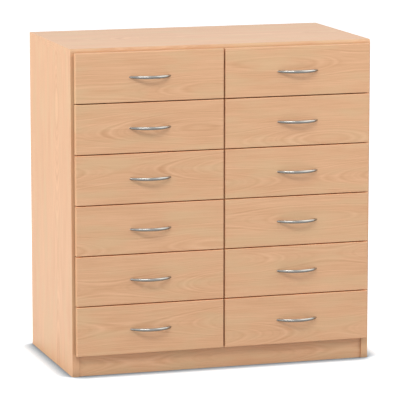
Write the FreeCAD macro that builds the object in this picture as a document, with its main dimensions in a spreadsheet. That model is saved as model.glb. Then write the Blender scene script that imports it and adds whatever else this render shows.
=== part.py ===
"""Free-standing chest of twelve small drawers, in two columns of six.

Beech-look board, doweled and glued. Each drawer is a board front with a bow handle, a
low box behind it and a pair of roller runners. Lengths are millimetres. X is to the
right, Y to the back, Z up. The origin is on the floor, under the middle of the whole
depth with the handles.
"""
import FreeCAD, Part
import Sketcher
import os

os.makedirs("parts", exist_ok=True)
doc = FreeCAD.newDocument("drawer_cabinet")

# Counts that the cabinet is laid out by
ROWS = 6
ROW_NAMES = ("6", "5", "4", "3", "2", "1")

# Driving sizes, one cell each
SIZES = {
    # outer size of the cabinet without its handles
    "cabinet_width": 800,
    "cabinet_height": 840,
    "carcass_depth": 422,
    # board thicknesses of the carcass
    "panel_board": 18,
    "top_board": 18,
    "back_board": 8,
    # soft front edge of the top, and the small rounding of every visible arris
    "nose_radius": 8,
    "arris_radius": 1,
    # back panel in its grooves
    "back_inset": 12,
    "groove_depth": 6,
    "slip_play": 0.15,
    "end_play": 0.5,
    # plinth under the bottom panel
    "plinth_height": 60,
    "plinth_recess": 5,
    "rear_rail_inset": 20,
    # drawer fronts, lying over the carcass edges
    "front_board": 16,
    "front_gap": 1.5,
    "front_arris": 1.5,
    "side_reveal": 8.5,
    "top_reveal": 10,
    "front_lap": 4,
    "row_gap": 3,
    "column_gap": 4,
    # drawer boxes
    "box_board": 12,
    "box_lift": 28,
    "box_headroom": 12.5,
    "back_clearance": 2.5,
    "bottom_sheet": 4,
    "bottom_rise": 10,
    "bottom_groove": 6,
    "glue_line": 0.05,
    # bow handles and their machine screws
    "handle_spacing": 96,
    "handle_reach": 26,
    "bow_overhang": 4.5,
    "bow_thickness": 6,
    "bow_height": 8,
    "bow_end_thickness": 3,
    "bow_end_height": 3.4,
    "foot_radius": 2.9,
    "handle_screw_radius": 2,
    "handle_screw_depth": 4,
    "handle_screw_play": 0.2,
    "screw_head_radius": 4,
    "screw_head_height": 2.4,
    # roller runners
    "runner_space": 12.5,
    "rail_sheet": 1.2,
    "rail_end_gap": 1,
    "rail_front_gap": 0.5,
    "lower_flange": 10.2,
    "upper_flange": 8,
    "roller_radius": 9,
    "roller_width": 7.5,
    "roller_inset": 12,
    "roller_side_gap": 0.6,
    "running_gap": 0.3,
    "flange_gap": 0.6,
    "stud_radius": 2.5,
    "stud_play": 0.05,
    "lip_reach": 9.5,
    "flange_tip_gap": 2.4,
    "drawer_travel": 300,
    "stop_height": 3,
    "stop_length": 2,
    "stop_play": 1,
    # countersunk screws that hold the rails
    "rail_screw_radius": 1.75,
    "rail_screw_head": 3,
    "rail_screw_depth": 8,
    "rail_screw_play": 0.1,
    "rail_screw_front": 60,
    "rail_screw_rear": 60,
    "rail_screw_height": 5,
    # dowels of the carcass
    "dowel_radius": 4,
    "dowel_sink": 12,
    "dowel_length": 35,
    "dowel_inset": 40,
    "dowel_play": 0.1,
    "dowel_end_play": 1,
    # dowels between drawer front, sides and back
    "box_dowel_radius": 3,
    "box_dowel_sink": 10,
    "box_dowel_length": 24,
    "box_dowel_corner_sink": 7,
    "box_dowel_inset": 12,
}

sizes = doc.addObject("Spreadsheet::Sheet", "sizes")
for line, (alias, number) in enumerate(SIZES.items(), start=1):
    sizes.set(f"A{line}", alias.replace("_", " "))
    sizes.set(f"B{line}", str(number))
    sizes.setAlias(f"B{line}", alias)
doc.recompute()

# Places in the cabinet, worked out from the sizes
WHOLE_DEPTH = "(sizes.handle_reach + sizes.front_board + sizes.front_gap + sizes.carcass_depth)"
FACE_Y = f"(sizes.handle_reach - {WHOLE_DEPTH} / 2)"
CARCASS_Y = f"({FACE_Y} + sizes.front_board + sizes.front_gap)"
REAR_Y = f"({WHOLE_DEPTH} / 2)"
BACK_Y = f"({REAR_Y} - sizes.back_inset - sizes.back_board)"
OUTER_X = "(sizes.cabinet_width / 2)"
SIDE_X = f"({OUTER_X} - sizes.panel_board)"
PARTITION_X = "(sizes.panel_board / 2)"
COLUMN_X = f"(({SIDE_X} + {PARTITION_X}) / 2)"
FLOOR_Z = "(sizes.plinth_height + sizes.panel_board)"
CEILING_Z = "(sizes.cabinet_height - sizes.top_board)"

# Places in a drawer, from its face and the lower edge of its front
FRONT_FOOT = "(sizes.plinth_height - sizes.front_lap)"
STACK_HEIGHT = f"(sizes.cabinet_height - sizes.top_reveal - {FRONT_FOOT})"
FRONT_HEIGHT = f"(({STACK_HEIGHT} - {ROWS - 1} * sizes.row_gap) / {ROWS})"
ROW_PITCH = f"({FRONT_HEIGHT} + sizes.row_gap)"
FRONT_LEFT = "(sizes.column_gap / 2)"
FRONT_RIGHT = f"({OUTER_X} - sizes.side_reveal)"
FRONT_X = f"(({FRONT_LEFT} + {FRONT_RIGHT}) / 2)"
INNER_DEPTH = "(sizes.carcass_depth - sizes.back_inset - sizes.back_board)"
BOX_LENGTH = f"({INNER_DEPTH} + sizes.front_gap - sizes.back_clearance)"
BOX_HEIGHT = f"({FRONT_HEIGHT} - sizes.box_lift - sizes.box_headroom)"
BOX_LEFT = f"({PARTITION_X} + sizes.runner_space)"
BOX_RIGHT = f"({SIDE_X} - sizes.runner_space)"
BOX_REAR = f"(sizes.front_board + {BOX_LENGTH})"
RAIL_LENGTH = f"({INNER_DEPTH} - 2 * sizes.rail_end_gap)"
CABINET_RAIL_Y = "(sizes.front_board + sizes.front_gap + sizes.rail_end_gap)"
DRAWER_RAIL_Y = "(sizes.front_board + sizes.rail_front_gap)"
ROLLER_Z = "(sizes.box_lift + sizes.roller_radius + sizes.running_gap)"
FLANGE_Z = f"({ROLLER_Z} + sizes.roller_radius + sizes.running_gap)"


def value(expression):
    """Number that an expression of the sheet gives now."""
    return float(sizes.evalExpression(expression))


def place(item, x="0", y="0", z="0"):
    """Bind the position of an object to three expressions."""
    item.setExpression("Placement.Base.x", x)
    item.setExpression("Placement.Base.y", y)
    item.setExpression("Placement.Base.z", z)
    return item


def block(name, size, corner):
    """Rectangular board from its lowest corner, with its three lengths."""
    item = doc.addObject("Part::Box", name)
    for side, expression in zip(("Length", "Width", "Height"), size):
        item.setExpression(side, expression)
    return place(item, *corner)


TURNS = {
    "+X": FreeCAD.Rotation(FreeCAD.Vector(0, 1, 0), 90),
    "-X": FreeCAD.Rotation(FreeCAD.Vector(0, 1, 0), -90),
    "+Y": FreeCAD.Rotation(FreeCAD.Vector(1, 0, 0), -90),
    "-Y": FreeCAD.Rotation(FreeCAD.Vector(1, 0, 0), 90),
    "+Z": FreeCAD.Rotation(),
}


def rod(name, direction, radius, length, start):
    """Round bar from a start point along one of the axes."""
    item = doc.addObject("Part::Cylinder", name)
    item.Placement = FreeCAD.Placement(FreeCAD.Vector(), TURNS[direction])
    item.setExpression("Radius", radius)
    item.setExpression("Height", length)
    return place(item, *start)


def taper(name, direction, first_radius, last_radius, length, start):
    """Round tapered bar from a start point along one of the axes."""
    item = doc.addObject("Part::Cone", name)
    item.Placement = FreeCAD.Placement(FreeCAD.Vector(), TURNS[direction])
    item.setExpression("Radius1", first_radius)
    item.setExpression("Radius2", last_radius)
    item.setExpression("Height", length)
    return place(item, *start)


def group(name, pieces):
    """Several solids kept as one object."""
    item = doc.addObject("Part::Compound", name)
    item.Links = pieces
    return item


def fuse(name, pieces):
    """One solid made of several that meet."""
    item = doc.addObject("Part::MultiFuse", name)
    item.Shapes = pieces
    item.Refine = True
    return item


def cut(name, base, tools):
    """A piece with holes, grooves or other spaces taken out of it."""
    item = doc.addObject("Part::Cut", name)
    item.Base = base
    item.Tool = group(name + "_spaces", tools)
    return item


def mirrored(name, source, plane_x="0"):
    """The piece seen in an upright mirror that stands across X."""
    item = doc.addObject("Part::Mirroring", name)
    item.Source = source
    item.Normal = FreeCAD.Vector(1, 0, 0)
    item.setExpression("Base.x", plane_x)
    return item


def body_sketch(body, name, plane_role):
    """Empty sketch on one of a body's own origin planes."""
    sketch = body.newObject("Sketcher::SketchObject", name)
    plane = [item for item in body.Origin.OriginFeatures if item.Role == plane_role][0]
    sketch.AttachmentSupport = [(plane, "")]
    sketch.MapMode = "FlatFace"
    return sketch


def hold_point(sketch, edge, end, spot):
    """Bind one end of a sketch edge to two distances from the sketch's origin."""
    for kind, expression in zip(("DistanceX", "DistanceY"), spot):
        rule = Sketcher.Constraint(kind, -1, 1, edge, end, value(expression))
        number = sketch.addConstraint(rule)
        sketch.setExpression(f"Constraints[{number}]", expression)


def outline(sketch, points):
    """Closed outline of straight edges through points given as expressions."""
    spots = [FreeCAD.Vector(value(x), value(y), 0) for x, y in points]
    count = len(spots)
    for edge in range(count):
        sketch.addGeometry(Part.LineSegment(spots[edge], spots[(edge + 1) % count]))
    for edge in range(count):
        sketch.addConstraint(Sketcher.Constraint("Coincident", edge, 2, (edge + 1) % count, 1))
        hold_point(sketch, edge, 1, points[edge])


def pad(body, name, sketch, length, reverse=False, both_ways=False):
    """Straight pad of a sketch."""
    item = body.newObject("PartDesign::Pad", name)
    item.Profile = sketch
    item.setExpression("Length", length)
    item.Reversed = reverse
    if both_ways:
        item.SideType = "Symmetric"
    doc.recompute()
    return item


def round_edges(body, name, radius, wanted):
    """Fillet of the body's edges that a test on the edge's middle picks out."""
    base = body.Tip
    picked = []
    for number, edge in enumerate(base.Shape.Edges, start=1):
        if wanted(edge.CenterOfMass):
            picked.append(f"Edge{number}")
    item = body.newObject("PartDesign::Fillet", name)
    item.Base = (base, picked)
    item.setExpression("Radius", radius)
    doc.recompute()
    return item


def near(first, second):
    """Whether two lengths are the same place."""
    return abs(first - second) < 0.001


nodes = []


def node(name, pieces, x="0", y="0", z="0"):
    """A finished sub-part of the cabinet, with its own name and place."""
    item = place(group(name, pieces), x, y, z)
    item.Label = name
    nodes.append(item)
    return item


# Dowels and their holes. Each dowel sinks less deep into a face than into an end.
def dowel(name, direction, x, y, z):
    """Carcass dowel from a point, and the slightly larger hole that it lies in."""
    backwards = {"+X": ("-sizes.dowel_end_play", "0", "0"), "+Z": ("0", "0", "-sizes.dowel_end_play")}
    shift = backwards[direction]
    pin = rod(name, direction, "sizes.dowel_radius", "sizes.dowel_length", (x, y, z))
    hole = rod(
        name + "_hole",
        direction,
        "sizes.dowel_radius + sizes.dowel_play",
        "sizes.dowel_length + 2 * sizes.dowel_end_play",
        (f"{x} + {shift[0]}", y, f"{z} + {shift[2]}"),
    )
    return pin, hole


STATIONS = {
    "front": f"({CARCASS_Y} + sizes.dowel_inset)",
    "middle": f"(({CARCASS_Y} + {BACK_Y}) / 2)",
    "rear": f"({BACK_Y} - sizes.dowel_inset)",
}
UPPER_DOWEL_Z = f"({CEILING_Z} - sizes.dowel_length + sizes.dowel_sink)"
LOWER_DOWEL_Z = f"({FLOOR_Z} - sizes.dowel_sink)"
SIDE_DOWEL_X = f"({SIDE_X} + sizes.dowel_sink - sizes.dowel_length)"
PLINTH_Y = f"({CARCASS_Y} + sizes.plinth_recess)"
REAR_RAIL_Y = f"({REAR_Y} - sizes.rear_rail_inset - sizes.panel_board)"

side_top = []
side_bottom = []
partition_top = []
partition_bottom = []
for station, station_y in STATIONS.items():
    side_top.append(
        dowel(f"side_top_{station}", "+Z", f"({OUTER_X} - sizes.panel_board / 2)", station_y, UPPER_DOWEL_Z)
    )
    side_bottom.append(
        dowel(
            f"side_bottom_{station}",
            "+X",
            SIDE_DOWEL_X,
            station_y,
            "(sizes.plinth_height + sizes.panel_board / 2)",
        )
    )
    partition_top.append(dowel(f"partition_top_{station}", "+Z", "0", station_y, UPPER_DOWEL_Z))
    partition_bottom.append(dowel(f"partition_bottom_{station}", "+Z", "0", station_y, LOWER_DOWEL_Z))

plinth_ends = []
for board, board_y in (("plinth", PLINTH_Y), ("rear_rail", REAR_RAIL_Y)):
    for level, share in (("low", "sizes.plinth_height / 4"), ("high", "sizes.plinth_height * 3 / 4")):
        plinth_ends.append(
            dowel(
                f"{board}_{level}",
                "+X",
                SIDE_DOWEL_X,
                f"({board_y} + sizes.panel_board / 2)",
                share,
            )
        )


def pins(pairs):
    """The dowels of a joint."""
    return [pair[0] for pair in pairs]


def holes(pairs):
    """The dowel holes of a joint."""
    return [pair[1] for pair in pairs]


right_dowels = group("right_dowels", pins(side_top + side_bottom + plinth_ends))
left_dowels = mirrored("left_dowels", right_dowels)
right_holes = group("right_holes", holes(side_top + side_bottom + plinth_ends))
left_holes = mirrored("left_holes", right_holes)


# Rail screws, four to each drawer place, with countersunk heads flush with the rails
def rail_screw(name, direction, x, y, z):
    """Countersunk screw whose head starts at a point, and the space that it needs."""
    sunk_x = f"({x} {direction[0]} sizes.rail_sheet)"
    head = taper(
        name + "_head",
        direction,
        "sizes.rail_screw_head",
        "sizes.rail_screw_radius",
        "sizes.rail_sheet",
        (x, y, z),
    )
    shank = rod(
        name + "_shank",
        direction,
        "sizes.rail_screw_radius",
        "sizes.rail_screw_depth",
        (sunk_x, y, z),
    )
    head_space = taper(
        name + "_head_space",
        direction,
        "sizes.rail_screw_head + sizes.rail_screw_play",
        "sizes.rail_screw_radius + sizes.rail_screw_play",
        "sizes.rail_sheet",
        (x, y, z),
    )
    shank_space = rod(
        name + "_shank_space",
        direction,
        "sizes.rail_screw_radius + sizes.rail_screw_play",
        "sizes.rail_screw_depth + sizes.rail_screw_play",
        (sunk_x, y, z),
    )
    screw = fuse(name, [head, shank])
    space = fuse(name + "_space", [head_space, shank_space])
    return screw, space


# Cabinet rail: a channel of bent sheet on the partition's right face, open to the drawer.
# A roller turns on a stud at its front end, and a raised tab stops the drawer's roller.
cabinet_rail_body = doc.addObject("PartDesign::Body", "cabinet_rail_body")
channel = body_sketch(cabinet_rail_body, "channel_section", "XZ_Plane")
CHANNEL_BASE = "(sizes.box_lift - sizes.rail_sheet)"
CHANNEL_ROOF = f"({FLANGE_Z} + sizes.rail_sheet + sizes.flange_gap)"
outline(
    channel,
    (
        (PARTITION_X, CHANNEL_BASE),
        (f"{PARTITION_X} + sizes.lower_flange", CHANNEL_BASE),
        (f"{PARTITION_X} + sizes.lower_flange", "sizes.box_lift"),
        (f"{PARTITION_X} + sizes.rail_sheet", "sizes.box_lift"),
        (f"{PARTITION_X} + sizes.rail_sheet", CHANNEL_ROOF),
        (f"{PARTITION_X} + sizes.upper_flange", CHANNEL_ROOF),
        (f"{PARTITION_X} + sizes.upper_flange", f"{CHANNEL_ROOF} + sizes.rail_sheet"),
        (PARTITION_X, f"{CHANNEL_ROOF} + sizes.rail_sheet"),
    ),
)
pad(cabinet_rail_body, "channel_pad", channel, RAIL_LENGTH, reverse=True)
place(cabinet_rail_body, y=CABINET_RAIL_Y)

STUD_REACH = "(sizes.roller_width + 2 * sizes.roller_side_gap)"
cabinet_stud = rod(
    "cabinet_stud",
    "+X",
    "sizes.stud_radius",
    STUD_REACH,
    (f"{PARTITION_X} + sizes.rail_sheet", f"{CABINET_RAIL_Y} + sizes.roller_inset", ROLLER_Z),
)
LAST_ROLLER_Y = f"({DRAWER_RAIL_Y} + {RAIL_LENGTH} - sizes.roller_inset - sizes.drawer_travel)"
TAB_DROP = "(sizes.roller_radius + sizes.running_gap - sizes.stop_height)"
TAB_REACH = f"sqrt(sizes.roller_radius ^ 2 - {TAB_DROP} ^ 2)"
stop_tab = block(
    "stop_tab",
    ("sizes.lower_flange - 2 * sizes.rail_sheet", "sizes.stop_length", "sizes.stop_height"),
    (
        f"{PARTITION_X} + sizes.rail_sheet",
        f"{LAST_ROLLER_Y} - {TAB_REACH} - sizes.stop_play - sizes.stop_length",
        "sizes.box_lift",
    ),
)
cabinet_rail_blank = fuse("cabinet_rail_blank", [cabinet_rail_body, cabinet_stud, stop_tab])

CABINET_SCREW_Z = f"({ROLLER_Z} + sizes.rail_sheet)"
cabinet_screws = []
for place_name, screw_y in (
    ("front", f"({CABINET_RAIL_Y} + sizes.rail_screw_front)"),
    ("rear", f"({CABINET_RAIL_Y} + {RAIL_LENGTH} - sizes.rail_screw_rear)"),
):
    cabinet_screws.append(
        rail_screw(
            f"cabinet_screw_{place_name}",
            "-X",
            f"({PARTITION_X} + sizes.rail_sheet)",
            screw_y,
            CABINET_SCREW_Z,
        )
    )
cabinet_rail = cut("cabinet_rail", cabinet_rail_blank, holes(cabinet_screws))


def ring(name, direction, start):
    """Plastic roller with a bore that runs on its stud."""
    tyre = rod(name + "_disc", direction, "sizes.roller_radius", "sizes.roller_width", start)
    bore = rod(
        name + "_bore",
        direction,
        "sizes.stud_radius + sizes.stud_play",
        "sizes.roller_width",
        start,
    )
    return cut(name, tyre, [bore])


cabinet_roller = ring(
    "cabinet_roller",
    "+X",
    (
        f"{PARTITION_X} + sizes.rail_sheet + sizes.roller_side_gap",
        f"{CABINET_RAIL_Y} + sizes.roller_inset",
        ROLLER_Z,
    ),
)


def four_sided(name, master):
    """A rail piece on both walls of both columns."""
    other_wall = mirrored(name + "_outer", master, COLUMN_X)
    pair = group(name + "_pair", [master, other_wall])
    other_column = mirrored(name + "_left_column", pair)
    return group(name + "_set", [pair, other_column])


def row_height(row):
    """Height above the floor of a row's drawer fronts, counted from the lowest row."""
    return f"({FRONT_FOOT} + {row} * {ROW_PITCH})"


def in_every_row(name, master):
    """Copies of a set, one for each row of drawers."""
    copies = []
    for row in range(ROWS):
        copies.append(place(group(f"{name}_row_{ROW_NAMES[row]}", [master]), "0", FACE_Y, row_height(row)))
    return copies


rail_rows = in_every_row("cabinet_rail", four_sided("cabinet_rail", cabinet_rail))
roller_rows = in_every_row("cabinet_roller", four_sided("cabinet_roller", cabinet_roller))
screw_rows = in_every_row(
    "cabinet_screw", four_sided("cabinet_screw", group("cabinet_screw_two", pins(cabinet_screws)))
)
screw_space_rows = in_every_row(
    "screw_space", four_sided("screw_space", group("screw_space_two", holes(cabinet_screws)))
)

# Back panel, and the space around it that becomes the grooves of its neighbours
BACK_HALF = f"({SIDE_X} + sizes.groove_depth)"
back_space = block(
    "back_space",
    (
        f"2 * {BACK_HALF}",
        "sizes.back_board + 2 * sizes.slip_play",
        f"{CEILING_Z} - {FLOOR_Z} + 2 * sizes.groove_depth",
    ),
    (f"-{BACK_HALF}", f"{BACK_Y} - sizes.slip_play", f"{FLOOR_Z} - sizes.groove_depth"),
)
back_board = block(
    "back_board",
    (
        f"2 * {BACK_HALF} - 2 * sizes.end_play",
        "sizes.back_board",
        f"{CEILING_Z} - {FLOOR_Z} + 2 * sizes.groove_depth - 2 * sizes.end_play",
    ),
    (
        f"-{BACK_HALF} + sizes.end_play",
        BACK_Y,
        f"{FLOOR_Z} - sizes.groove_depth + sizes.end_play",
    ),
)
node("back_panel", [back_board])

# Side panels, from the floor to the underside of the top
side_body = doc.addObject("PartDesign::Body", "side_body")
side_plan = body_sketch(side_body, "side_plan", "XY_Plane")
outline(
    side_plan,
    ((SIDE_X, CARCASS_Y), (OUTER_X, CARCASS_Y), (OUTER_X, REAR_Y), (SIDE_X, REAR_Y)),
)
pad(side_body, "side_pad", side_plan, CEILING_Z)


def on_side_arris(middle):
    """Whether an edge is the outer front edge of the side panel."""
    return near(middle.x, value(OUTER_X)) and near(middle.y, value(CARCASS_Y))


round_edges(side_body, "side_arris", "sizes.arris_radius", on_side_arris)
right_side = cut("right_side", side_body, [back_space, right_holes] + screw_space_rows)
left_blank = mirrored("left_blank", side_body)
left_side = cut("left_side", left_blank, [back_space, left_holes] + screw_space_rows)
node("right_side_panel", [right_side])
node("left_side_panel", [left_side])

# Top panel over the sides, with its soft front edge
top_body = doc.addObject("PartDesign::Body", "top_body")
top_section = body_sketch(top_body, "top_section", "YZ_Plane")
NOSE_Y = f"({CARCASS_Y} + sizes.nose_radius)"
NOSE_Z = "(sizes.cabinet_height - sizes.nose_radius)"
TOP_POINTS = (
    (CARCASS_Y, NOSE_Z),
    (CARCASS_Y, CEILING_Z),
    (REAR_Y, CEILING_Z),
    (REAR_Y, "sizes.cabinet_height"),
    (NOSE_Y, "sizes.cabinet_height"),
)
top_spots = [FreeCAD.Vector(value(y), value(z), 0) for y, z in TOP_POINTS]
for edge in range(len(top_spots) - 1):
    top_section.addGeometry(Part.LineSegment(top_spots[edge], top_spots[edge + 1]))
nose_centre = FreeCAD.Vector(value(NOSE_Y), value(NOSE_Z), 0)
nose_circle = Part.Circle(nose_centre, FreeCAD.Vector(0, 0, 1), value("sizes.nose_radius"))
top_section.addGeometry(Part.ArcOfCircle(nose_circle, 1.5707963, 3.1415927))
NOSE_ARC = len(top_spots) - 1
for edge in range(NOSE_ARC - 1):
    top_section.addConstraint(Sketcher.Constraint("Coincident", edge, 2, edge + 1, 1))
top_section.addConstraint(Sketcher.Constraint("Coincident", NOSE_ARC - 1, 2, NOSE_ARC, 1))
top_section.addConstraint(Sketcher.Constraint("Coincident", NOSE_ARC, 2, 0, 1))
for edge in range(NOSE_ARC):
    hold_point(top_section, edge, 1, TOP_POINTS[edge])
hold_point(top_section, NOSE_ARC - 1, 2, TOP_POINTS[-1])
arc_rule = Sketcher.Constraint("Radius", NOSE_ARC, value("sizes.nose_radius"))
arc_number = top_section.addConstraint(arc_rule)
top_section.setExpression(f"Constraints[{arc_number}]", "sizes.nose_radius")
pad(top_body, "top_pad", top_section, "sizes.cabinet_width", both_ways=True)


def on_top_arris(middle):
    """Whether an edge goes round one end of the top, but not along its underside or rear."""
    at_end = near(abs(middle.x), value(OUTER_X))
    below = near(middle.z, value(CEILING_Z))
    behind = near(middle.y, value(REAR_Y))
    return at_end and not below and not behind


round_edges(top_body, "top_arris", "sizes.arris_radius", on_top_arris)
partition_holes = holes(partition_top)
top_panel = cut("top_board_cut", top_body, [back_space, right_holes, left_holes] + partition_holes)
node("top_panel", [top_panel])

# Bottom panel between the sides
bottom_board = block(
    "bottom_board",
    (f"2 * {SIDE_X}", "sizes.carcass_depth", "sizes.panel_board"),
    (f"-{SIDE_X}", CARCASS_Y, "sizes.plinth_height"),
)
bottom_panel = cut(
    "bottom_board_cut", bottom_board, [back_space, right_holes, left_holes] + holes(partition_bottom)
)
node("bottom_panel", [bottom_panel])

# Upright partition between the two columns, up to the back panel
partition_board = block(
    "partition_board",
    ("sizes.panel_board", INNER_DEPTH, f"{CEILING_Z} - {FLOOR_Z}"),
    (f"-{PARTITION_X}", CARCASS_Y, FLOOR_Z),
)
partition = cut(
    "partition_cut",
    partition_board,
    holes(partition_top + partition_bottom) + screw_space_rows,
)
node("centre_partition", [partition])

# Plinth board and rear rail, on edge under the bottom panel
for board, board_y in (("plinth_board", PLINTH_Y), ("rear_plinth_rail", REAR_RAIL_Y)):
    blank = block(
        board + "_blank",
        (f"2 * {SIDE_X}", "sizes.panel_board", "sizes.plinth_height"),
        (f"-{SIDE_X}", board_y, "0"),
    )
    node(board, [cut(board + "_cut", blank, [right_holes, left_holes])])

node("carcass_dowels", [right_dowels, left_dowels] + pins(partition_top + partition_bottom))
node("cabinet_rails", rail_rows)
node("cabinet_rollers", roller_rows)
node("rail_screws", screw_rows)

# Drawer bottom, and the space around it that becomes the grooves of its neighbours
BOTTOM_Z = "(sizes.box_lift + sizes.bottom_rise)"
BOTTOM_LEFT = f"({BOX_LEFT} + sizes.box_board - sizes.bottom_groove)"
BOTTOM_RIGHT = f"({BOX_RIGHT} - sizes.box_board + sizes.bottom_groove)"
BOTTOM_FRONT = "(sizes.front_board - sizes.bottom_groove)"
BOTTOM_REAR = f"({BOX_REAR} - sizes.box_board + sizes.bottom_groove)"
bottom_space = block(
    "bottom_space",
    (
        f"{BOTTOM_RIGHT} - {BOTTOM_LEFT}",
        f"{BOTTOM_REAR} - {BOTTOM_FRONT}",
        "sizes.bottom_sheet + 2 * sizes.slip_play",
    ),
    (BOTTOM_LEFT, BOTTOM_FRONT, f"{BOTTOM_Z} - sizes.slip_play"),
)
drawer_bottom = block(
    "drawer_bottom",
    (
        f"{BOTTOM_RIGHT} - {BOTTOM_LEFT} - 2 * sizes.end_play",
        f"{BOTTOM_REAR} - {BOTTOM_FRONT} - 2 * sizes.end_play",
        "sizes.bottom_sheet",
    ),
    (f"{BOTTOM_LEFT} + sizes.end_play", f"{BOTTOM_FRONT} + sizes.end_play", BOTTOM_Z),
)


# Dowels at the four corners of a drawer
def box_dowel(name, direction, length, x, y, z):
    """Drawer dowel from a point, and the slightly larger hole that it lies in."""
    pin = rod(name, direction, "sizes.box_dowel_radius", length, (x, y, z))
    hole_x = f"{x} - sizes.end_play" if direction == "+X" else x
    hole_y = f"{y} - sizes.end_play" if direction == "+Y" else y
    hole = rod(
        name + "_hole",
        direction,
        "sizes.box_dowel_radius + sizes.dowel_play",
        f"{length} + 2 * sizes.end_play",
        (hole_x, hole_y, z),
    )
    return pin, hole


corner_dowels = []
for level, dowel_z in (
    ("low", f"({BOTTOM_Z} + sizes.bottom_sheet + sizes.box_dowel_inset)"),
    ("high", f"(sizes.box_lift + {BOX_HEIGHT} - sizes.box_dowel_inset)"),
):
    corner_dowels.append(
        box_dowel(
            f"front_dowel_{level}",
            "+Y",
            "sizes.box_dowel_length",
            f"({BOX_LEFT} + sizes.box_board / 2)",
            "(sizes.front_board - sizes.box_dowel_sink)",
            dowel_z,
        )
    )
    corner_dowels.append(
        box_dowel(
            f"rear_dowel_{level}",
            "+X",
            "sizes.box_dowel_length",
            f"({BOX_LEFT} + sizes.box_board - sizes.box_dowel_corner_sink)",
            f"({BOX_REAR} - sizes.box_board / 2)",
            dowel_z,
        )
    )
box_dowels = group("box_dowels", pins(corner_dowels))
other_box_dowels = mirrored("other_box_dowels", box_dowels, COLUMN_X)
box_holes = group("box_holes", holes(corner_dowels))
other_box_holes = mirrored("other_box_holes", box_holes, COLUMN_X)

# Drawer rail: bent sheet that clasps the lower edge of the box's side. Its flange runs
# on the cabinet's roller, and its own roller runs in the cabinet's channel.
drawer_rail_body = doc.addObject("PartDesign::Body", "drawer_rail_body")
hook = body_sketch(drawer_rail_body, "hook_section", "XZ_Plane")
WEB_X = f"({BOX_LEFT} - sizes.rail_sheet)"
FLANGE_X = f"({PARTITION_X} + sizes.flange_tip_gap)"
outline(
    hook,
    (
        (WEB_X, CHANNEL_BASE),
        (f"{BOX_LEFT} + sizes.lip_reach", CHANNEL_BASE),
        (f"{BOX_LEFT} + sizes.lip_reach", "sizes.box_lift"),
        (BOX_LEFT, "sizes.box_lift"),
        (BOX_LEFT, f"{FLANGE_Z} + sizes.rail_sheet"),
        (FLANGE_X, f"{FLANGE_Z} + sizes.rail_sheet"),
        (FLANGE_X, FLANGE_Z),
        (WEB_X, FLANGE_Z),
    ),
)
pad(drawer_rail_body, "hook_pad", hook, RAIL_LENGTH, reverse=True)
place(drawer_rail_body, y=DRAWER_RAIL_Y)
DRAWER_ROLLER_Y = f"({DRAWER_RAIL_Y} + {RAIL_LENGTH} - sizes.roller_inset)"
drawer_stud = rod("drawer_stud", "-X", "sizes.stud_radius", STUD_REACH, (WEB_X, DRAWER_ROLLER_Y, ROLLER_Z))
drawer_rail_blank = fuse("drawer_rail_blank", [drawer_rail_body, drawer_stud])
drawer_screws = []
for place_name, screw_y in (
    ("front", f"({DRAWER_RAIL_Y} + sizes.rail_screw_front)"),
    ("rear", f"({DRAWER_RAIL_Y} + {RAIL_LENGTH} - sizes.rail_screw_rear)"),
):
    drawer_screws.append(
        rail_screw(
            f"drawer_screw_{place_name}",
            "+X",
            WEB_X,
            screw_y,
            "(sizes.box_lift + sizes.rail_screw_height)",
        )
    )
drawer_rail = cut("drawer_rail", drawer_rail_blank, holes(drawer_screws))
drawer_roller = ring(
    "drawer_roller",
    "-X",
    (f"{WEB_X} - sizes.roller_side_gap", DRAWER_ROLLER_Y, ROLLER_Z),
)
runner = group("runner", [drawer_rail, drawer_roller] + pins(drawer_screws))
other_runner = mirrored("other_runner", runner, COLUMN_X)
runner_pair = group("runner_pair", [runner, other_runner])

# Drawer box: two sides and a back, doweled, around the hardboard bottom
screw_spaces = group("screw_spaces", holes(drawer_screws))
box_side_blank = block(
    "box_side_blank",
    ("sizes.box_board", BOX_LENGTH, BOX_HEIGHT),
    (BOX_LEFT, "sizes.front_board", "sizes.box_lift"),
)
box_side = cut("box_side", box_side_blank, [bottom_space, box_holes, screw_spaces])
other_box_side = mirrored("other_box_side", box_side, COLUMN_X)
box_back_blank = block(
    "box_back_blank",
    (
        f"{BOX_RIGHT} - {BOX_LEFT} - 2 * sizes.box_board - 2 * sizes.glue_line",
        "sizes.box_board",
        BOX_HEIGHT,
    ),
    (
        f"{BOX_LEFT} + sizes.box_board + sizes.glue_line",
        f"{BOX_REAR} - sizes.box_board",
        "sizes.box_lift",
    ),
)
box_back = cut("box_back", box_back_blank, [bottom_space, box_holes, other_box_holes])
drawer_box = group(
    "drawer_box",
    [box_side, other_box_side, box_back, drawer_bottom, box_dowels, other_box_dowels],
)

# Drawer front: edged board with rounded arrises, dowel holes and a groove in its back
front_body = doc.addObject("PartDesign::Body", "front_body")
front_face = body_sketch(front_body, "front_face", "XZ_Plane")
outline(
    front_face,
    ((FRONT_LEFT, "0"), (FRONT_RIGHT, "0"), (FRONT_RIGHT, FRONT_HEIGHT), (FRONT_LEFT, FRONT_HEIGHT)),
)
pad(front_body, "front_pad", front_face, "sizes.front_board", reverse=True)
round_edges(front_body, "front_edges", "sizes.front_arris", lambda middle: near(middle.y, 0))

HANDLE_Z = f"({FRONT_HEIGHT} / 2)"
handle_holes = []
for hand, sign in (("left", "-"), ("right", "+")):
    handle_holes.append(
        rod(
            f"handle_hole_{hand}",
            "+Y",
            "sizes.handle_screw_radius + sizes.handle_screw_play",
            "sizes.front_board",
            (f"{FRONT_X} {sign} sizes.handle_spacing / 2", "0", HANDLE_Z),
        )
    )
drawer_front = cut(
    "drawer_front", front_body, handle_holes + [bottom_space, box_holes, other_box_holes]
)

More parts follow.
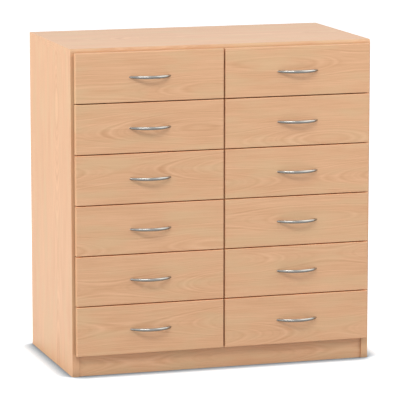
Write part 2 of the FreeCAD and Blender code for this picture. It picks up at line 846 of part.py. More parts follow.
# Bow handle: an oval bar bent to an arc, tapering towards its ends, on two short feet
BOW_STATIONS = 13
BOW_RISE = "(sizes.handle_reach - sizes.bow_thickness / 2)"
BOW_HALF = "(sizes.handle_spacing / 2 + sizes.bow_overhang)"
BOW_RADIUS = f"(({BOW_HALF} ^ 2 + {BOW_RISE} ^ 2) / (2 * {BOW_RISE}))"
BOW_TURN = f"(asin({BOW_HALF} / {BOW_RADIUS}) + sizes.bow_thickness / {BOW_RADIUS} * 1 rad)"
bow_sections = []
for station in range(BOW_STATIONS):
    share = 2 * station / (BOW_STATIONS - 1) - 1
    angle = f"({share} * {BOW_TURN})"
    oval = doc.addObject("Part::Ellipse", f"bow_section_{station}")
    spot = f"vector({BOW_RADIUS} * sin({angle}); {BOW_RADIUS} - {BOW_RISE} - {BOW_RADIUS} * cos({angle}); 0)"
    oval.setExpression("Placement", f"placement({spot}; rotation({angle}; 90 deg; 0 deg))")
    slimness = share**4
    for radius, size in (("MajorRadius", "height"), ("MinorRadius", "thickness")):
        full = f"sizes.bow_{size}"
        slim = f"sizes.bow_end_{size}"
        oval.setExpression(radius, f"({full} - {slimness} * ({full} - {slim})) / 2")
    bow_sections.append(oval)
bow_bar = doc.addObject("Part::Loft", "bow_bar")
bow_bar.Sections = bow_sections
bow_bar.Solid = True
behind_face = block(
    "behind_face",
    (f"4 * {BOW_HALF}", "2 * sizes.bow_thickness", "2 * sizes.bow_height"),
    (f"-2 * {BOW_HALF}", "0", "-sizes.bow_height"),
)
bow_trimmed = cut("bow_trimmed", bow_bar, [behind_face])

feet = []
thread_spaces = []
handle_screws = []
for hand, sign in (("left", "-"), ("right", "")):
    foot_x = f"{sign}sizes.handle_spacing / 2"
    FOOT_DROP = f"({BOW_RADIUS} - sqrt({BOW_RADIUS} ^ 2 - (sizes.handle_spacing / 2) ^ 2))"
    feet.append(
        rod(f"foot_{hand}", "-Y", "sizes.foot_radius", f"{BOW_RISE} - {FOOT_DROP}", (foot_x, "0", "0"))
    )
    thread_spaces.append(
        rod(
            f"thread_{hand}",
            "-Y",
            "sizes.handle_screw_radius + sizes.handle_screw_play / 2",
            "sizes.handle_screw_depth + sizes.handle_screw_play",
            (foot_x, "0", "0"),
        )
    )
    shank = rod(
        f"handle_shank_{hand}",
        "-Y",
        "sizes.handle_screw_radius",
        "sizes.front_board + sizes.handle_screw_depth",
        (foot_x, "sizes.front_board", "0"),
    )
    head = rod(
        f"handle_head_{hand}",
        "+Y",
        "sizes.screw_head_radius",
        "sizes.screw_head_height",
        (foot_x, "sizes.front_board", "0"),
    )
    handle_screws.append(fuse(f"handle_screw_{hand}", [shank, head]))
bow = cut("bow", fuse("bow_blank", [bow_trimmed] + feet), thread_spaces)
handle = place(group("handle", [bow] + handle_screws), FRONT_X, "0", HANDLE_Z)

# The twelve drawers, each of four sub-parts in their place in the cabinet
DRAWER_PARTS = {
    "front": drawer_front,
    "box": drawer_box,
    "handle": handle,
    "runners": runner_pair,
}
left_parts = {part: mirrored(f"left_{part}", master) for part, master in DRAWER_PARTS.items()}
for column, masters in (("left", left_parts), ("right", DRAWER_PARTS)):
    for row in range(ROWS):
        for part, master in masters.items():
            node(f"drawer_{column}_{ROW_NAMES[row]}_{part}", [master], y=FACE_Y, z=row_height(row))

doc.recompute()

for item in doc.Objects:
    if {"Invalid", "Error"} & set(item.State):
        raise RuntimeError(f"{item.Name} failed: {item.State}")
for item in nodes:
    if item.Shape.isNull() or not item.Shape.isValid():
        raise RuntimeError(f"{item.Label} has no valid shape")
for item in nodes:
    item.Shape.exportStep(f"parts/{item.Label}.step")
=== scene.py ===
import math

import bpy
import numpy as np
from mathutils import Matrix, Vector


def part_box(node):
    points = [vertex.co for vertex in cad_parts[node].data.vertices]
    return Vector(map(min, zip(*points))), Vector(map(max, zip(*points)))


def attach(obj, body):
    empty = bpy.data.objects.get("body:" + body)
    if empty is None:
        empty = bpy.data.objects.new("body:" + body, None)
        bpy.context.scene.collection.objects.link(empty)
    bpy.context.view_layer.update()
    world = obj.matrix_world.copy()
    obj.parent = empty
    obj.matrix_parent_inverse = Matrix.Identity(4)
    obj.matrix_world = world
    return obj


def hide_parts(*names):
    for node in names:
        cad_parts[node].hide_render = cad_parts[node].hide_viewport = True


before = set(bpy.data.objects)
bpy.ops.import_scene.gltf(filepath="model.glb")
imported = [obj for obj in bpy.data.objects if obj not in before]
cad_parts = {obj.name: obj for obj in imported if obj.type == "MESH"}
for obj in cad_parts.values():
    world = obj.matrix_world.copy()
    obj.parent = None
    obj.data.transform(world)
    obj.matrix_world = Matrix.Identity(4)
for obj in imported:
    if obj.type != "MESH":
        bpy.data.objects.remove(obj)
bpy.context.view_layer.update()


# Side panels. Chipboard with a beech-look surface, its grain upright, and a thin edge band
# all round. They stand on the floor and carry the top.
def srgb(red, green, blue):
    """Linear colour of three screen levels from 0 to 255: a level below 0.04045 of the whole is
    divided by 12.92, and the others are ((level + 0.055) / 1.055) to the power 2.4."""
    levels = np.array([red, green, blue]) / 255
    linear = np.where(levels <= 0.04045, levels / 12.92, ((levels + 0.055) / 1.055) ** 2.4)
    return (*(float(level) for level in linear), 1.0)


def put(tree, kind, inputs=None, **settings):
    """A new node, with its settings and with numbers or links in its input sockets."""
    node = tree.nodes.new(kind)
    for name, setting in settings.items():
        setattr(node, name, setting)
    for name, value in (inputs or {}).items():
        if isinstance(value, bpy.types.NodeSocket):
            tree.links.new(value, node.inputs[name])
        else:
            node.inputs[name].default_value = value
    return node


def reckon(tree, operation, first, second=0.0, third=0.0):
    """Output of one sum on two or three numbers or links."""
    node = put(tree, "ShaderNodeMath", {0: first, 1: second, 2: third}, operation=operation)
    return node.outputs[0]


def ramp(tree, value, start, end, first=0.0, last=1.0):
    """A number that goes evenly from first to last while the value goes from start to end."""
    inputs = {"Value": value, "From Min": start, "From Max": end, "To Min": first, "To Max": last}
    return put(tree, "ShaderNodeMapRange", inputs).outputs[0]


def blend(tree, share, first, second):
    """Colour between two colours."""
    FACTOR, FIRST, SECOND, COLOUR = 0, 6, 7, 2
    node = put(tree, "ShaderNodeMix", {FACTOR: share, FIRST: first, SECOND: second}, data_type="RGBA")
    return node.outputs[COLOUR]


def scaled(tree, colour, factor):
    """A colour times a factor."""
    node = put(tree, "ShaderNodeVectorMath", {0: colour, "Scale": factor}, operation="SCALE")
    return node.outputs[0]


def noise(tree, vector, detail=2.0, roughness=0.5):
    """Cloudy value from 0 to 1, of one cell in size, at a place."""
    inputs = {"Vector": vector, "Scale": 1.0, "Detail": detail, "Roughness": roughness}
    return put(tree, "ShaderNodeTexNoise", inputs).outputs["Fac"]


def stretched(tree, vector, sizes):
    """A place measured in cells of these three sizes."""
    scale = tuple(1 / size for size in sizes)
    node = put(tree, "ShaderNodeVectorMath", {0: vector, 1: scale}, operation="MULTIPLY")
    return node.outputs[0]


def open_share(tree, reach):
    """Share of the space over a point, from 0 to 1, that nothing within reach takes up."""
    SAMPLES = 16
    node = put(tree, "ShaderNodeAmbientOcclusion", {"Distance": reach}, samples=SAMPLES)
    return node.outputs["AO"]


def bare_material(name):
    """A new material with an empty node tree."""
    material = bpy.data.materials.new(name)
    material.use_nodes = True
    material.node_tree.nodes.clear()
    return material


def make_beech_grain():
    """Group for flat-sawn beech, read at a place in millimetres: X along the grain, Y across it
    and Z through the board. The year rings are circles about the log's heart, so on the board
    they follow the root of (across squared plus distance to the heart squared). The heart
    wanders along the board, which closes some rings into long pointed arches. The tone is 0.5
    plus, for rings, streaks and clouds, a weight times (the noise less 0.5)."""
    HEART_CELL, HEART_WANDER, HEART_DEPTH = (460, 4000, 4000), 90.0, -34.0
    WAVE_CELL, WAVE_WIDTH = (240, 90, 300), 12.0
    JAG_CELL, JAG_WIDTH = (30, 6, 300), 2.5
    ARCH_SHARPNESS = 2.3
    RING_PITCH, RING_WEIGHT = 2.3, 1.15
    STREAK_CELL, STREAK_WEIGHT, STREAK_HEIGHT = (120, 2.6, 2.6), 1.2, 0.4
    CLOUD_CELL, CLOUD_WEIGHT = (170, 30, 30), 0.7
    PORE_CELL, PORE_START, PORE_END = (4.5, 0.42, 0.42), 0.66, 0.78
    PATCH_CELL, PATCH_START, PATCH_END = (140, 34, 60), 0.46, 0.68

    group = bpy.data.node_groups.new("beech_grain", "ShaderNodeTree")
    face = group.interface
    face.new_socket("Place", in_out="INPUT", socket_type="NodeSocketVector")
    face.new_socket("Heart", in_out="INPUT", socket_type="NodeSocketFloat")
    for name in ("Tone", "Pale", "Pores", "Height"):
        face.new_socket(name, in_out="OUTPUT", socket_type="NodeSocketFloat")
    source = put(group, "NodeGroupInput")
    place = source.outputs["Place"]
    split = put(group, "ShaderNodeSeparateXYZ", {0: place})

    wave = noise(group, stretched(group, place, WAVE_CELL), detail=1.0)
    jag = noise(group, stretched(group, place, JAG_CELL), detail=1.0)
    across = reckon(group, "ADD", split.outputs["Y"], source.outputs["Heart"])
    across = reckon(group, "MULTIPLY_ADD", wave, WAVE_WIDTH, across)
    across = reckon(group, "MULTIPLY_ADD", jag, JAG_WIDTH, across)
    across = reckon(group, "MULTIPLY", across, ARCH_SHARPNESS)
    wander = noise(group, stretched(group, place, HEART_CELL), detail=0.0)
    heart_depth = reckon(group, "MULTIPLY_ADD", wander, HEART_WANDER, HEART_DEPTH)
    depth = reckon(group, "ADD", split.outputs["Z"], heart_depth)
    squares = reckon(group, "POWER", across, 2.0), reckon(group, "POWER", depth, 2.0)
    radius = reckon(group, "SQRT", reckon(group, "ADD", *squares))
    ring_number = reckon(group, "DIVIDE", radius, RING_PITCH)
    ring_inputs = {"W": ring_number, "Scale": 1.0, "Detail": 1.0, "Roughness": 0.5}
    rings = put(group, "ShaderNodeTexNoise", ring_inputs, noise_dimensions="1D").outputs["Fac"]

    streaks = noise(group, stretched(group, place, STREAK_CELL), detail=3.0, roughness=0.6)
    clouds = noise(group, stretched(group, place, CLOUD_CELL))
    tone = 0.5
    for value, weight in ((rings, RING_WEIGHT), (streaks, STREAK_WEIGHT), (clouds, CLOUD_WEIGHT)):
        tone = reckon(group, "MULTIPLY_ADD", reckon(group, "SUBTRACT", value, 0.5), weight, tone)

    dashes = noise(group, stretched(group, place, PORE_CELL), detail=1.0)
    pores = ramp(group, dashes, PORE_START, PORE_END)
    patches = noise(group, stretched(group, place, PATCH_CELL))
    pale = ramp(group, patches, PATCH_START, PATCH_END)
    hollows = reckon(group, "MULTIPLY", pores, -1.0)
    height = reckon(group, "MULTIPLY_ADD", streaks, STREAK_HEIGHT, hollows)
    put(group, "NodeGroupOutput", {"Tone": tone, "Pale": pale, "Pores": pores, "Height": height})
    return group


BEECH_GRAIN = make_beech_grain()
MILLIMETRES_PER_METRE = 1000
BEECH_LIGHT = srgb(229, 182, 142)
BEECH_DARK = srgb(207, 156, 115)
BEECH_PALE, PALE_SHARE = srgb(214, 178, 136), 0.6
BEECH_PORE, PORE_SHARE = srgb(170, 118, 82), 0.35


def beech_board(name, order, heart=0.0, shift=0.0, tint=1.0, edge_light=1.0, nook=0.0, all_round=False):
    """Beech-look surface. The order names the axes along the grain, across it and through the
    board, the heart is the height of the arches and the shift picks the stretch of log, both in
    millimetres. The tint is a factor on the wood's colours, and the edge light one on the colour
    of the long edges: a painted highlight above 1 and a painted shade below 1. The nook is the
    power of a painted shade where another board is close, on the long edges or all round."""
    NOOK_REACH = 0.025
    FACE_TILT, EDGE_TILT = 0.2, 0.9
    GLOSS, LACQUER_IOR = 0.42, 1.5
    RELIEF, RELIEF_DEPTH = 0.08, 0.0002

    material = bare_material(name)
    tree = material.node_tree
    coordinates = put(tree, "ShaderNodeTexCoord").outputs
    split = put(tree, "ShaderNodeSeparateXYZ", {0: coordinates["Object"]})
    axes = {target: split.outputs[axis] for target, axis in zip("XYZ", order)}
    turned = put(tree, "ShaderNodeCombineXYZ", axes).outputs[0]
    scale = (MILLIMETRES_PER_METRE,) * 3
    place = put(tree, "ShaderNodeMapping", {"Vector": turned, "Scale": scale, "Location": (shift, 0, 0)})
    log = {"Place": place.outputs[0], "Heart": heart}
    grain = put(tree, "ShaderNodeGroup", log, node_tree=BEECH_GRAIN).outputs
    light, dark = (
        (*(channel * tint for channel in colour[:3]), 1.0) for colour in (BEECH_LIGHT, BEECH_DARK)
    )
    wood = blend(tree, grain["Tone"], dark, light)
    wood = blend(tree, reckon(tree, "MULTIPLY", grain["Pale"], PALE_SHARE), wood, BEECH_PALE)
    wood = blend(tree, reckon(tree, "MULTIPLY", grain["Pores"], PORE_SHARE), wood, BEECH_PORE)
    facing = put(tree, "ShaderNodeSeparateXYZ", {0: coordinates["Normal"]})
    edgewise = 1.0 if all_round else reckon(tree, "ABSOLUTE", facing.outputs[order[1]])
    # On the long edges the colour gets a painted shade where boards stand close, or else a painted
    # highlight or shade by a fixed factor.
    shade = reckon(tree, "POWER", open_share(tree, NOOK_REACH), nook) if nook else edge_light
    edge = ramp(tree, edgewise, FACE_TILT, EDGE_TILT, first=1.0, last=shade)
    relief = {"Height": grain["Height"], "Strength": RELIEF, "Distance": RELIEF_DEPTH}
    shader = put(
        tree, "ShaderNodeBsdfPrincipled",
        {
            "Base Color": scaled(tree, wood, edge),
            "Roughness": GLOSS,
            "IOR": LACQUER_IOR,
            "Normal": put(tree, "ShaderNodeBump", relief).outputs[0],
        },
    )
    put(tree, "ShaderNodeOutputMaterial", {"Surface": shader.outputs[0]})
    return material


def dress(node, material):
    """Gives a node of the frame this material all over."""
    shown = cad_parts[node].data
    shown.materials.clear()
    shown.materials.append(material)


# The sides' long edges get a painted shade where other boards stand close, as beside the drawer fronts.
for side, shift in (("left", 0.0), ("right", 2600.0)):
    side_beech = beech_board(f"{side}_side_beech", "ZYX", heart=40.0, shift=shift, nook=0.5)
    dress(f"{side}_side_panel", side_beech)

# Centre partition. The same board on edge between the two columns of drawers, doweled to the
# bottom and to the top.
dress("centre_partition", beech_board("partition_beech", "ZYX", heart=-60.0, shift=5100.0))

# Bottom panel, plinth board and rear plinth rail. Beech-look board with its grain lengthwise,
# doweled between the sides under the lowest drawers. A little of the plinth's shade is painted.
plinth_beech = beech_board("plinth_beech", "XZY", heart=-34.0, shift=7300.0, nook=0.14, all_round=True)
dress("bottom_panel", beech_board("bottom_beech", "XYZ", heart=30.0, shift=900.0))
dress("plinth_board", plinth_beech)
dress("rear_plinth_rail", beech_board("rear_rail_beech", "XZY", heart=-28.0, shift=8800.0))

# Top panel. Beech-look board with its grain lengthwise and a soft front edge. It lies over both
# sides, on dowels.
# Its long edges get a slight painted shade, a little darker than its faces.
dress("top_panel", beech_board("top_beech", "XYZ", heart=-15.0, shift=4300.0, edge_light=0.96))

# Back panel. Thin hardboard with a printed wood surface, a little darker than the boards, in
# grooves of its neighbours.
dress("back_panel", beech_board("back_print", "ZXY", heart=70.0, shift=9900.0, tint=0.93))


# Carcass dowels. Turned beech pins, glued into holes in the boards and hidden in them, which
# hold the boards of the carcass together.
def plain_finish(name, colour, roughness, metallic=0.0, speck=0.06, size=0.0015, bump=0.1):
    """Surface of one colour with fine cloudy specks. The colour's factor goes from 1 - speck to
    1 + speck and the roughness from 0.05 below its value to 0.05 above."""
    ROUGHNESS_SWING = 0.05
    SPECK_DEPTH = 0.0002

    material = bare_material(name)
    tree = material.node_tree
    coordinates = put(tree, "ShaderNodeTexCoord").outputs["Object"]
    specks = noise(tree, stretched(tree, coordinates, (size,) * 3), detail=3.0)
    tone = reckon(tree, "MULTIPLY_ADD", specks, 2 * speck, 1 - speck)
    gloss = reckon(tree, "MULTIPLY_ADD", specks, 2 * ROUGHNESS_SWING, roughness - ROUGHNESS_SWING)
    relief = put(tree, "ShaderNodeBump", {"Height": specks, "Strength": bump, "Distance": SPECK_DEPTH})
    shader = put(
        tree, "ShaderNodeBsdfPrincipled",
        {
            "Base Color": scaled(tree, colour[:3], tone),
            "Roughness": gloss,
            "Metallic": metallic,
            "Normal": relief.outputs[0],
        },
    )
    put(tree, "ShaderNodeOutputMaterial", {"Surface": shader.outputs[0]})
    return material


dress("carcass_dowels", plain_finish("dowel_beech", srgb(214, 178, 132), roughness=0.6))

# Cabinet rails, their rollers and screws. Bent steel sheet with a cream powder coat, nylon
# rollers on studs, and zinc-plated countersunk screws.
NYLON = srgb(238, 236, 228)
ZINC = srgb(176, 178, 180)
POWDER_COAT = {"colour": srgb(226, 220, 205), "roughness": 0.38, "speck": 0.03, "size": 0.0009}
screw_finish = plain_finish("zinc_plate", ZINC, roughness=0.32, metallic=1.0, speck=0.08, size=0.0006)
dress("cabinet_rails", plain_finish("rail_powder_coat", **POWDER_COAT))
dress("cabinet_rollers", plain_finish("nylon", NYLON, roughness=0.32, speck=0.02, size=0.004))
dress("rail_screws", screw_finish)

# Drawer fronts. Beech-look board with softly rounded arrises and its grain lengthwise, no two
# fronts from the same stretch of log. Their long edges carry a painted highlight, lighter than
# their faces, to look as in the photo.
COLUMNS = ("left", "right")
ROWS = range(1, 7)
HEART_STEP = 14.0
ROW_SHIFT, COLUMN_SHIFT = 1700.0, 10900.0
# Painted highlight on the long edges of the fronts: a factor on their colour, in the first row and in
# the lower rows.
FIRST_ROW_EDGE_LIGHT, LOWER_ROW_EDGE_LIGHT = 1.08, 1.35
for column, name in enumerate(COLUMNS):
    for row in ROWS:
        low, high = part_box(f"drawer_{name}_{row}_front")
        middle_height = (low.z + high.z) / 2 * MILLIMETRES_PER_METRE
        steps = (row * 5 + column * 3) % 7 - 3
        front_beech = beech_board(
            f"front_beech_{name}_{row}", "XZY",
            heart=steps * HEART_STEP - middle_height,
            shift=row * ROW_SHIFT + column * COLUMN_SHIFT,
            edge_light=FIRST_ROW_EDGE_LIGHT if row == 1 else LOWER_ROW_EDGE_LIGHT,
        )
        dress(f"drawer_{name}_{row}_front", front_beech)

# Drawer boxes. Coated board sides and back around a thin bottom sheet with a plain print,
# doweled together and to the front.
LOWEST_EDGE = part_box("drawer_left_6_front")[0].z
ROW_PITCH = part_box("drawer_left_5_front")[0].z - LOWEST_EDGE
SLACK = 0.0005
SHEET_HEIGHT, SHEET_THICKNESS = 0.038, 0.004


def two_finishes(name, first, second_colour, mask):
    """The first finish, with the second colour where the mask group says so. The group is read
    at a place in the lowest drawer of the right column, as all drawers are alike: X is the
    distance from the middle of the cabinet and Z the height over the front's lower edge."""
    material = plain_finish(name, **first)
    tree = material.node_tree
    shader = tree.nodes["Principled BSDF"]
    split = put(tree, "ShaderNodeSeparateXYZ", {0: put(tree, "ShaderNodeTexCoord").outputs["Object"]})
    sideways = reckon(tree, "ABSOLUTE", split.outputs["X"])
    height = reckon(tree, "SUBTRACT", split.outputs["Z"], LOWEST_EDGE)
    height = reckon(tree, "FLOORED_MODULO", height, ROW_PITCH)
    lowered = put(tree, "ShaderNodeCombineXYZ", {"X": sideways, "Y": split.outputs["Y"], "Z": height})
    share = put(tree, "ShaderNodeGroup", {"Place": lowered.outputs[0]}, node_tree=mask)
    first_colour = shader.inputs["Base Color"].links[0].from_socket
    mixed = blend(tree, share.outputs["Share"], first_colour, second_colour)
    tree.links.new(mixed, shader.inputs["Base Color"])
    return material


def mask_group(name, make_share):
    """Node group with a place as its input and a share from 0 to 1 as its output."""
    group = bpy.data.node_groups.new(name, "ShaderNodeTree")
    group.interface.new_socket("Place", in_out="INPUT", socket_type="NodeSocketVector")
    group.interface.new_socket("Share", in_out="OUTPUT", socket_type="NodeSocketFloat")
    source = put(group, "NodeGroupInput")
    split = put(group, "ShaderNodeSeparateXYZ", {0: source.outputs["Place"]})
    put(group, "NodeGroupOutput", {"Share": make_share(group, split.outputs)})
    return group


def between(group, value, low, high):
    """1 where the value is over low and under high, otherwise 0."""
    over = reckon(group, "GREATER_THAN", value, low)
    under = reckon(group, "LESS_THAN", value, high)
    return reckon(group, "MULTIPLY", over, under)


def sheet_share(group, place):
    """The height that the bottom sheet takes up, with a little slack."""
    return between(group, place["Z"], SHEET_HEIGHT - SLACK, SHEET_HEIGHT + SHEET_THICKNESS + SLACK)


box_finish = two_finishes(
    "box_coating",
    first={"colour": srgb(222, 208, 186), "roughness": 0.5, "speck": 0.02, "size": 0.003},
    second_colour=srgb(205, 184, 152),
    mask=mask_group("bottom_sheet_mask", sheet_share),
)
for name in COLUMNS:
    for row in ROWS:
        dress(f"drawer_{name}_{row}_box", box_finish)

# Drawer runners. A rail of cream powder-coated steel clasps each lower edge of the box, with a
# nylon roller on a stud at its rear end.
front_low, front_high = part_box("drawer_right_6_front")
FACE_Y = front_low.y
FRONT_X = (front_low.x + front_high.x) / 2


def roller_share(group, place):
    """The rollers: a ring between the stud and the roller's rim, where the square of the
    distance from its axle is between their squared radii. Across the drawer it lies from the
    near to the far distance from the cabinet's middle, or mirrored at the box's middle."""
    ROLLER_BEHIND_FACE, ROLLER_HEIGHT = 0.4045, 0.0373
    ROLLER_RADIUS, STUD_RADIUS = 0.009, 0.0026
    BOX_MIDDLE = 0.1955
    NEAR, FAR = 0.0122, 0.0197
    SIDE_SLACK = SLACK / 4
    back = reckon(group, "SUBTRACT", place["Y"], FACE_Y + ROLLER_BEHIND_FACE)
    up = reckon(group, "SUBTRACT", place["Z"], ROLLER_HEIGHT)
    square = reckon(group, "MULTIPLY_ADD", back, back, reckon(group, "MULTIPLY", up, up))
    ring = between(group, square, STUD_RADIUS ** 2, (ROLLER_RADIUS + SLACK) ** 2)
    aside = reckon(group, "ABSOLUTE", reckon(group, "SUBTRACT", place["X"], BOX_MIDDLE))
    width = between(group, aside, BOX_MIDDLE - FAR - SIDE_SLACK, BOX_MIDDLE - NEAR + SIDE_SLACK)
    return reckon(group, "MULTIPLY", ring, width)


runner_finish = two_finishes(
    "runner_powder_coat_and_roller",
    first=POWDER_COAT,
    second_colour=NYLON,
    mask=mask_group("roller_mask", roller_share),
)
for name in COLUMNS:
    for row in ROWS:
        dress(f"drawer_{name}_{row}_runners", runner_finish)


# Bow handles. Cast metal with a satin nickel finish: a slim crescent on two short feet,
# screwed on from inside the drawer.
def satin_nickel_with_painted_shade():
    """Satin nickel with a painted shade, darker the more a place faces down. The photo shows dark
    undersides, and the pale studio alone would light them."""
    UNDERSIDE, TOPSIDE = -0.4, 0.5
    UNDERSIDE_SHADE = 0.42
    material = plain_finish(
        "satin_nickel_with_painted_shade", srgb(172, 170, 165), roughness=0.21, metallic=1.0, speck=0.01,
        size=0.0004, bump=0.02,
    )
    tree = material.node_tree
    shader = tree.nodes["Principled BSDF"]
    facing = put(tree, "ShaderNodeSeparateXYZ", {0: put(tree, "ShaderNodeTexCoord").outputs["Normal"]})
    # Painted shade: the colour darkens the more a place faces down.
    tone = ramp(tree, facing.outputs["Z"], UNDERSIDE, TOPSIDE, first=UNDERSIDE_SHADE)
    plain = shader.inputs["Base Color"].links[0].from_socket
    tree.links.new(scaled(tree, plain, tone), shader.inputs["Base Color"])
    return material


handle_finish = satin_nickel_with_painted_shade()
REACH = 0.026
BOW_THICKNESS, END_THICKNESS = 0.006, 0.003
BOW_HEIGHT, END_HEIGHT = 0.008, 0.0034
HALF_SPACING = 0.048
BOW_OVERHANG = 0.0045
BOW_HALF = HALF_SPACING + BOW_OVERHANG
BOW_RISE = REACH - BOW_THICKNESS / 2
BOW_RADIUS = (BOW_HALF**2 + BOW_RISE**2) / (2 * BOW_RISE)
BOW_TURN = math.asin(BOW_HALF / BOW_RADIUS) + BOW_THICKNESS / BOW_RADIUS


def bow_points(turn, around):
    """Points of the bow for angles along and around it. The middle line is a circle of radius R
    through both feet, x = R sin(a), y = R - rise - R cos(a). The section is an ellipse whose half
    axes shrink with s^4, s = a / a_end, down to the end's size."""
    share = np.abs(turn / BOW_TURN) ** 4
    thick = (BOW_THICKNESS - share * (BOW_THICKNESS - END_THICKNESS)) / 2
    high = (BOW_HEIGHT - share * (BOW_HEIGHT - END_HEIGHT)) / 2
    reach = BOW_RADIUS + thick * np.cos(around)
    x = reach * np.sin(turn)
    y = BOW_RADIUS - BOW_RISE - reach * np.cos(turn)
    return np.stack([x, y, high * np.sin(around)], axis=-1)


def turn_at_face(around):
    """Angle along the bow at which each line of the surface meets the drawer's face, by halving
    the range where y = 0 lies."""
    HALVINGS = 40
    low = np.zeros_like(around)
    high = np.full_like(around, BOW_TURN)
    for _ in range(HALVINGS):
        middle = (low + high) / 2
        outside = bow_points(middle, around)[..., 1] < 0
        low = np.where(outside, middle, low)
        high = np.where(outside, high, middle)
    return low


def bow_grid(rings=73, sides=32):
    """Rings along the bow, at shares sin(t) of the way from its middle to the drawer's face,
    which stand square to it in the middle and end in that face."""
    around = np.linspace(0, 2 * np.pi, sides, endpoint=False)[None, :]
    along = np.sin(np.linspace(-1, 1, rings) * np.pi / 2)[:, None]
    return bow_points(along * turn_at_face(around), around * np.ones_like(along))


def turned(profile, centre, sides=24):
    """Rings of a body turned about the Y axis through a centre, from (radius, y) pairs:
    x = radius cos(t), z = radius sin(t)."""
    radius, depth = np.array(profile).T
    around = np.linspace(0, 2 * np.pi, sides, endpoint=False)
    x = centre[0] + radius[:, None] * np.cos(around)
    y = centre[1] + depth[:, None] * np.ones_like(around)
    z = centre[2] + radius[:, None] * np.sin(around)
    return np.stack([x, y, z], axis=-1)


def surface(name, grid, closed_ends=False):
    """Mesh of a grid of points, closed around its second direction, smooth shaded."""
    rings, sides = grid.shape[:2]
    ring, side = np.meshgrid(np.arange(rings - 1), np.arange(sides), indexing="ij")
    after = (side + 1) % sides
    corners = [
        ring * sides + side,
        ring * sides + after,
        (ring + 1) * sides + after,
        (ring + 1) * sides + side,
    ]
    faces = np.stack(corners, axis=-1).reshape(-1, 4).tolist()
    if closed_ends:
        faces.append(list(range(sides))[::-1])
        faces.append([(rings - 1) * sides + side for side in range(sides)])
    mesh = bpy.data.meshes.new(name)
    mesh.from_pydata(grid.reshape(-1, 3).tolist(), [], faces)
    mesh.polygons.foreach_set("use_smooth", [True] * len(faces))
    mesh.update()
    shown = bpy.data.objects.new(name, mesh)
    bpy.context.scene.collection.objects.link(shown)
    return shown


FOOT_DROP = BOW_RADIUS - math.sqrt(BOW_RADIUS**2 - HALF_SPACING**2)
FOOT_LENGTH = BOW_RISE - FOOT_DROP
FOOT_RADIUS, NECK_RADIUS = 0.0029, 0.0022
FOOT_PROFILE = ((FOOT_RADIUS, 0.0), (FOOT_RADIUS, -FOOT_LENGTH / 2), (NECK_RADIUS, -FOOT_LENGTH))

# The screw's outline as (radius, height over the board's rear face), from the shank in the
# board over the rim and the dome of the head into the hollow for the driver.
BOARD = front_high.y - front_low.y
SHANK = ((0.0020, -0.0040), (0.0020, 0.0))
HEAD = ((0.0040, 0.0), (0.0040, 0.0010), (0.0036, 0.0018), (0.0024, 0.0023))
HOLLOW = ((0.0012, 0.0024), (0.0011, 0.0014), (0.0001, 0.0012))
SCREW_PROFILE = [(radius, BOARD + height) for radius, height in SHANK + HEAD + HOLLOW]

for side, name in ((-1, "left"), (1, "right")):
    for row in ROWS:
        body = f"drawer_{name}_{row}"
        low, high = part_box(f"{body}_front")
        middle = np.array([side * FRONT_X, FACE_Y, (low.z + high.z) / 2])
        bow = surface(f"bow_{name}_{row}", bow_grid() + middle)
        bow.data.materials.append(handle_finish)
        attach(bow, body)
        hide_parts(f"{body}_handle")
        for hand, offset in (("left", -HALF_SPACING), ("right", HALF_SPACING)):
            root = middle + (offset, 0, 0)
            ending = f"{name}_{row}_{hand}"
            foot = surface(f"bow_foot_{ending}", turned(FOOT_PROFILE, root), closed_ends=True)
            screw = surface(f"handle_screw_{ending}", turned(SCREW_PROFILE, root), closed_ends=True)
            for piece, finish in ((foot, handle_finish), (screw, screw_finish)):
                piece.data.materials.append(finish)
                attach(piece, body)


# Floor. A plain studio floor with the cabinet's soft shadow, partly cast by the lamps and partly
# painted. It is white to the camera and in reflections, and grey to all other rays, so that
# little light comes up from it.
def direct_view(tree):
    """1 for rays of the camera and those in reflections and in glass, 0 for all others."""
    rays = put(tree, "ShaderNodeLightPath").outputs
    seen = reckon(tree, "MAXIMUM", rays["Is Camera Ray"], rays["Is Glossy Ray"])
    return reckon(tree, "MAXIMUM", seen, rays["Is Transmission Ray"])


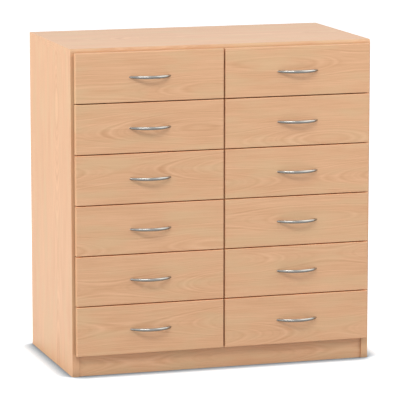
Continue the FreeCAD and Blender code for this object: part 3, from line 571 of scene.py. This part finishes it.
def make_floor():
    """Flat square under the cabinet. Each channel of its painted shade is the open share of the
    space over it to that channel's power, times a narrow line where the cabinet touches it. To
    the camera it also glows in that colour, which keeps it white."""
    HALF_WIDTH = 15.0
    SHADE_REACH, SHADE_POWERS = 0.06, {"Red": 2.4, "Green": 2.2, "Blue": 2.05}
    LINE_REACH, LINE_POWER = 0.010, 0.35
    BOUNCE_GREY = (0.6, 0.6, 0.6, 1)
    CAMERA_GLOW = 0.5

    corners = [(x * HALF_WIDTH, y * HALF_WIDTH, 0) for x, y in ((-1, -1), (1, -1), (1, 1), (-1, 1))]
    mesh = bpy.data.meshes.new("floor")
    mesh.from_pydata(corners, [], [(0, 1, 2, 3)])
    floor = bpy.data.objects.new("floor", mesh)
    bpy.context.scene.collection.objects.link(floor)
    material = bare_material("floor_white")
    tree = material.node_tree
    nearby = open_share(tree, SHADE_REACH)
    line = reckon(tree, "POWER", open_share(tree, LINE_REACH), LINE_POWER)
    channels = {
        name: reckon(tree, "MULTIPLY", line, reckon(tree, "POWER", nearby, power))
        for name, power in SHADE_POWERS.items()
    }
    shade = put(tree, "ShaderNodeCombineColor", channels).outputs[0]
    paint = blend(tree, direct_view(tree), BOUNCE_GREY, shade)
    matt = put(tree, "ShaderNodeBsdfDiffuse", {"Color": paint})
    camera_ray = put(tree, "ShaderNodeLightPath").outputs["Is Camera Ray"]
    strength = reckon(tree, "MULTIPLY", camera_ray, CAMERA_GLOW)
    glow = put(tree, "ShaderNodeEmission", {"Color": shade, "Strength": strength})
    both = put(tree, "ShaderNodeAddShader", {0: matt.outputs[0], 1: glow.outputs[0]})
    put(tree, "ShaderNodeOutputMaterial", {"Surface": both.outputs[0]})
    mesh.materials.append(material)
    return floor


make_floor()


# Studio light. Three wide soft lamps, from the left, from the right of the front and from high
# in front, in a pale world that is white to the camera and in reflections.
MIDDLE = Vector((0.0, 0.0, 0.45))


def soft_lamp(name, place, size, power, colour):
    """Area lamp of a width and height at a place, turned to the middle of the cabinet."""
    lamp = bpy.data.lights.new(name, "AREA")
    lamp.shape = "RECTANGLE"
    lamp.size, lamp.size_y = size
    lamp.energy = power
    lamp.color = colour
    holder = bpy.data.objects.new(name, lamp)
    turn = (MIDDLE - Vector(place)).to_track_quat("-Z", "Y").to_matrix().to_4x4()
    holder.matrix_world = Matrix.Translation(place) @ turn
    holder.visible_camera = False
    bpy.context.scene.collection.objects.link(holder)
    return holder


soft_lamp("left_lamp", place=(-3.0, 0.4, 1.5), size=(1.6, 1.6), power=48.0, colour=(1.0, 0.97, 0.92))
soft_lamp("front_lamp", place=(1.7, -0.9, 1.6), size=(2.3, 2.3), power=22.0, colour=(1.0, 0.965, 0.93))
soft_lamp("centre_lamp", place=(-1.2, -2.4, 2.7), size=(2.2, 0.6), power=39.0, colour=(1.0, 1.0, 1.0))

AMBIENT = {"Color": (0.93, 0.96, 1.0, 1), "Strength": 0.652}
SEEN_WHITE = {"Color": (1, 1, 1, 1), "Strength": 1.0}
world = bpy.data.worlds.new("studio")
bpy.context.scene.world = world
world.use_nodes = True
sky = world.node_tree
sky.nodes.clear()
ambient = put(sky, "ShaderNodeBackground", AMBIENT).outputs[0]
white = put(sky, "ShaderNodeBackground", SEEN_WHITE).outputs[0]
both = put(sky, "ShaderNodeMixShader", {0: direct_view(sky), 1: ambient, 2: white})
put(sky, "ShaderNodeOutputWorld", {"Surface": both.outputs[0]})

# Camera. A long lens to the left of the cabinet and a little above it, which looks down on it
# by the tilt and to the right by the yaw.
LENS, SENSOR_WIDTH = 260.0, 36.0
YAW = math.radians(17.179)
TILT = math.radians(9.516)
EYE = (-2.2115, -7.1484, 1.6624)
camera = bpy.data.cameras.new("camera")
camera.lens = LENS
camera.sensor_width = SENSOR_WIDTH
holder = bpy.data.objects.new("camera", camera)
bpy.context.scene.collection.objects.link(holder)
holder.location = EYE
holder.rotation_euler = (math.pi / 2 - TILT, 0.0, -YAW)
bpy.context.scene.camera = holder

scene = bpy.context.scene
scene.view_settings.view_transform = "Standard"
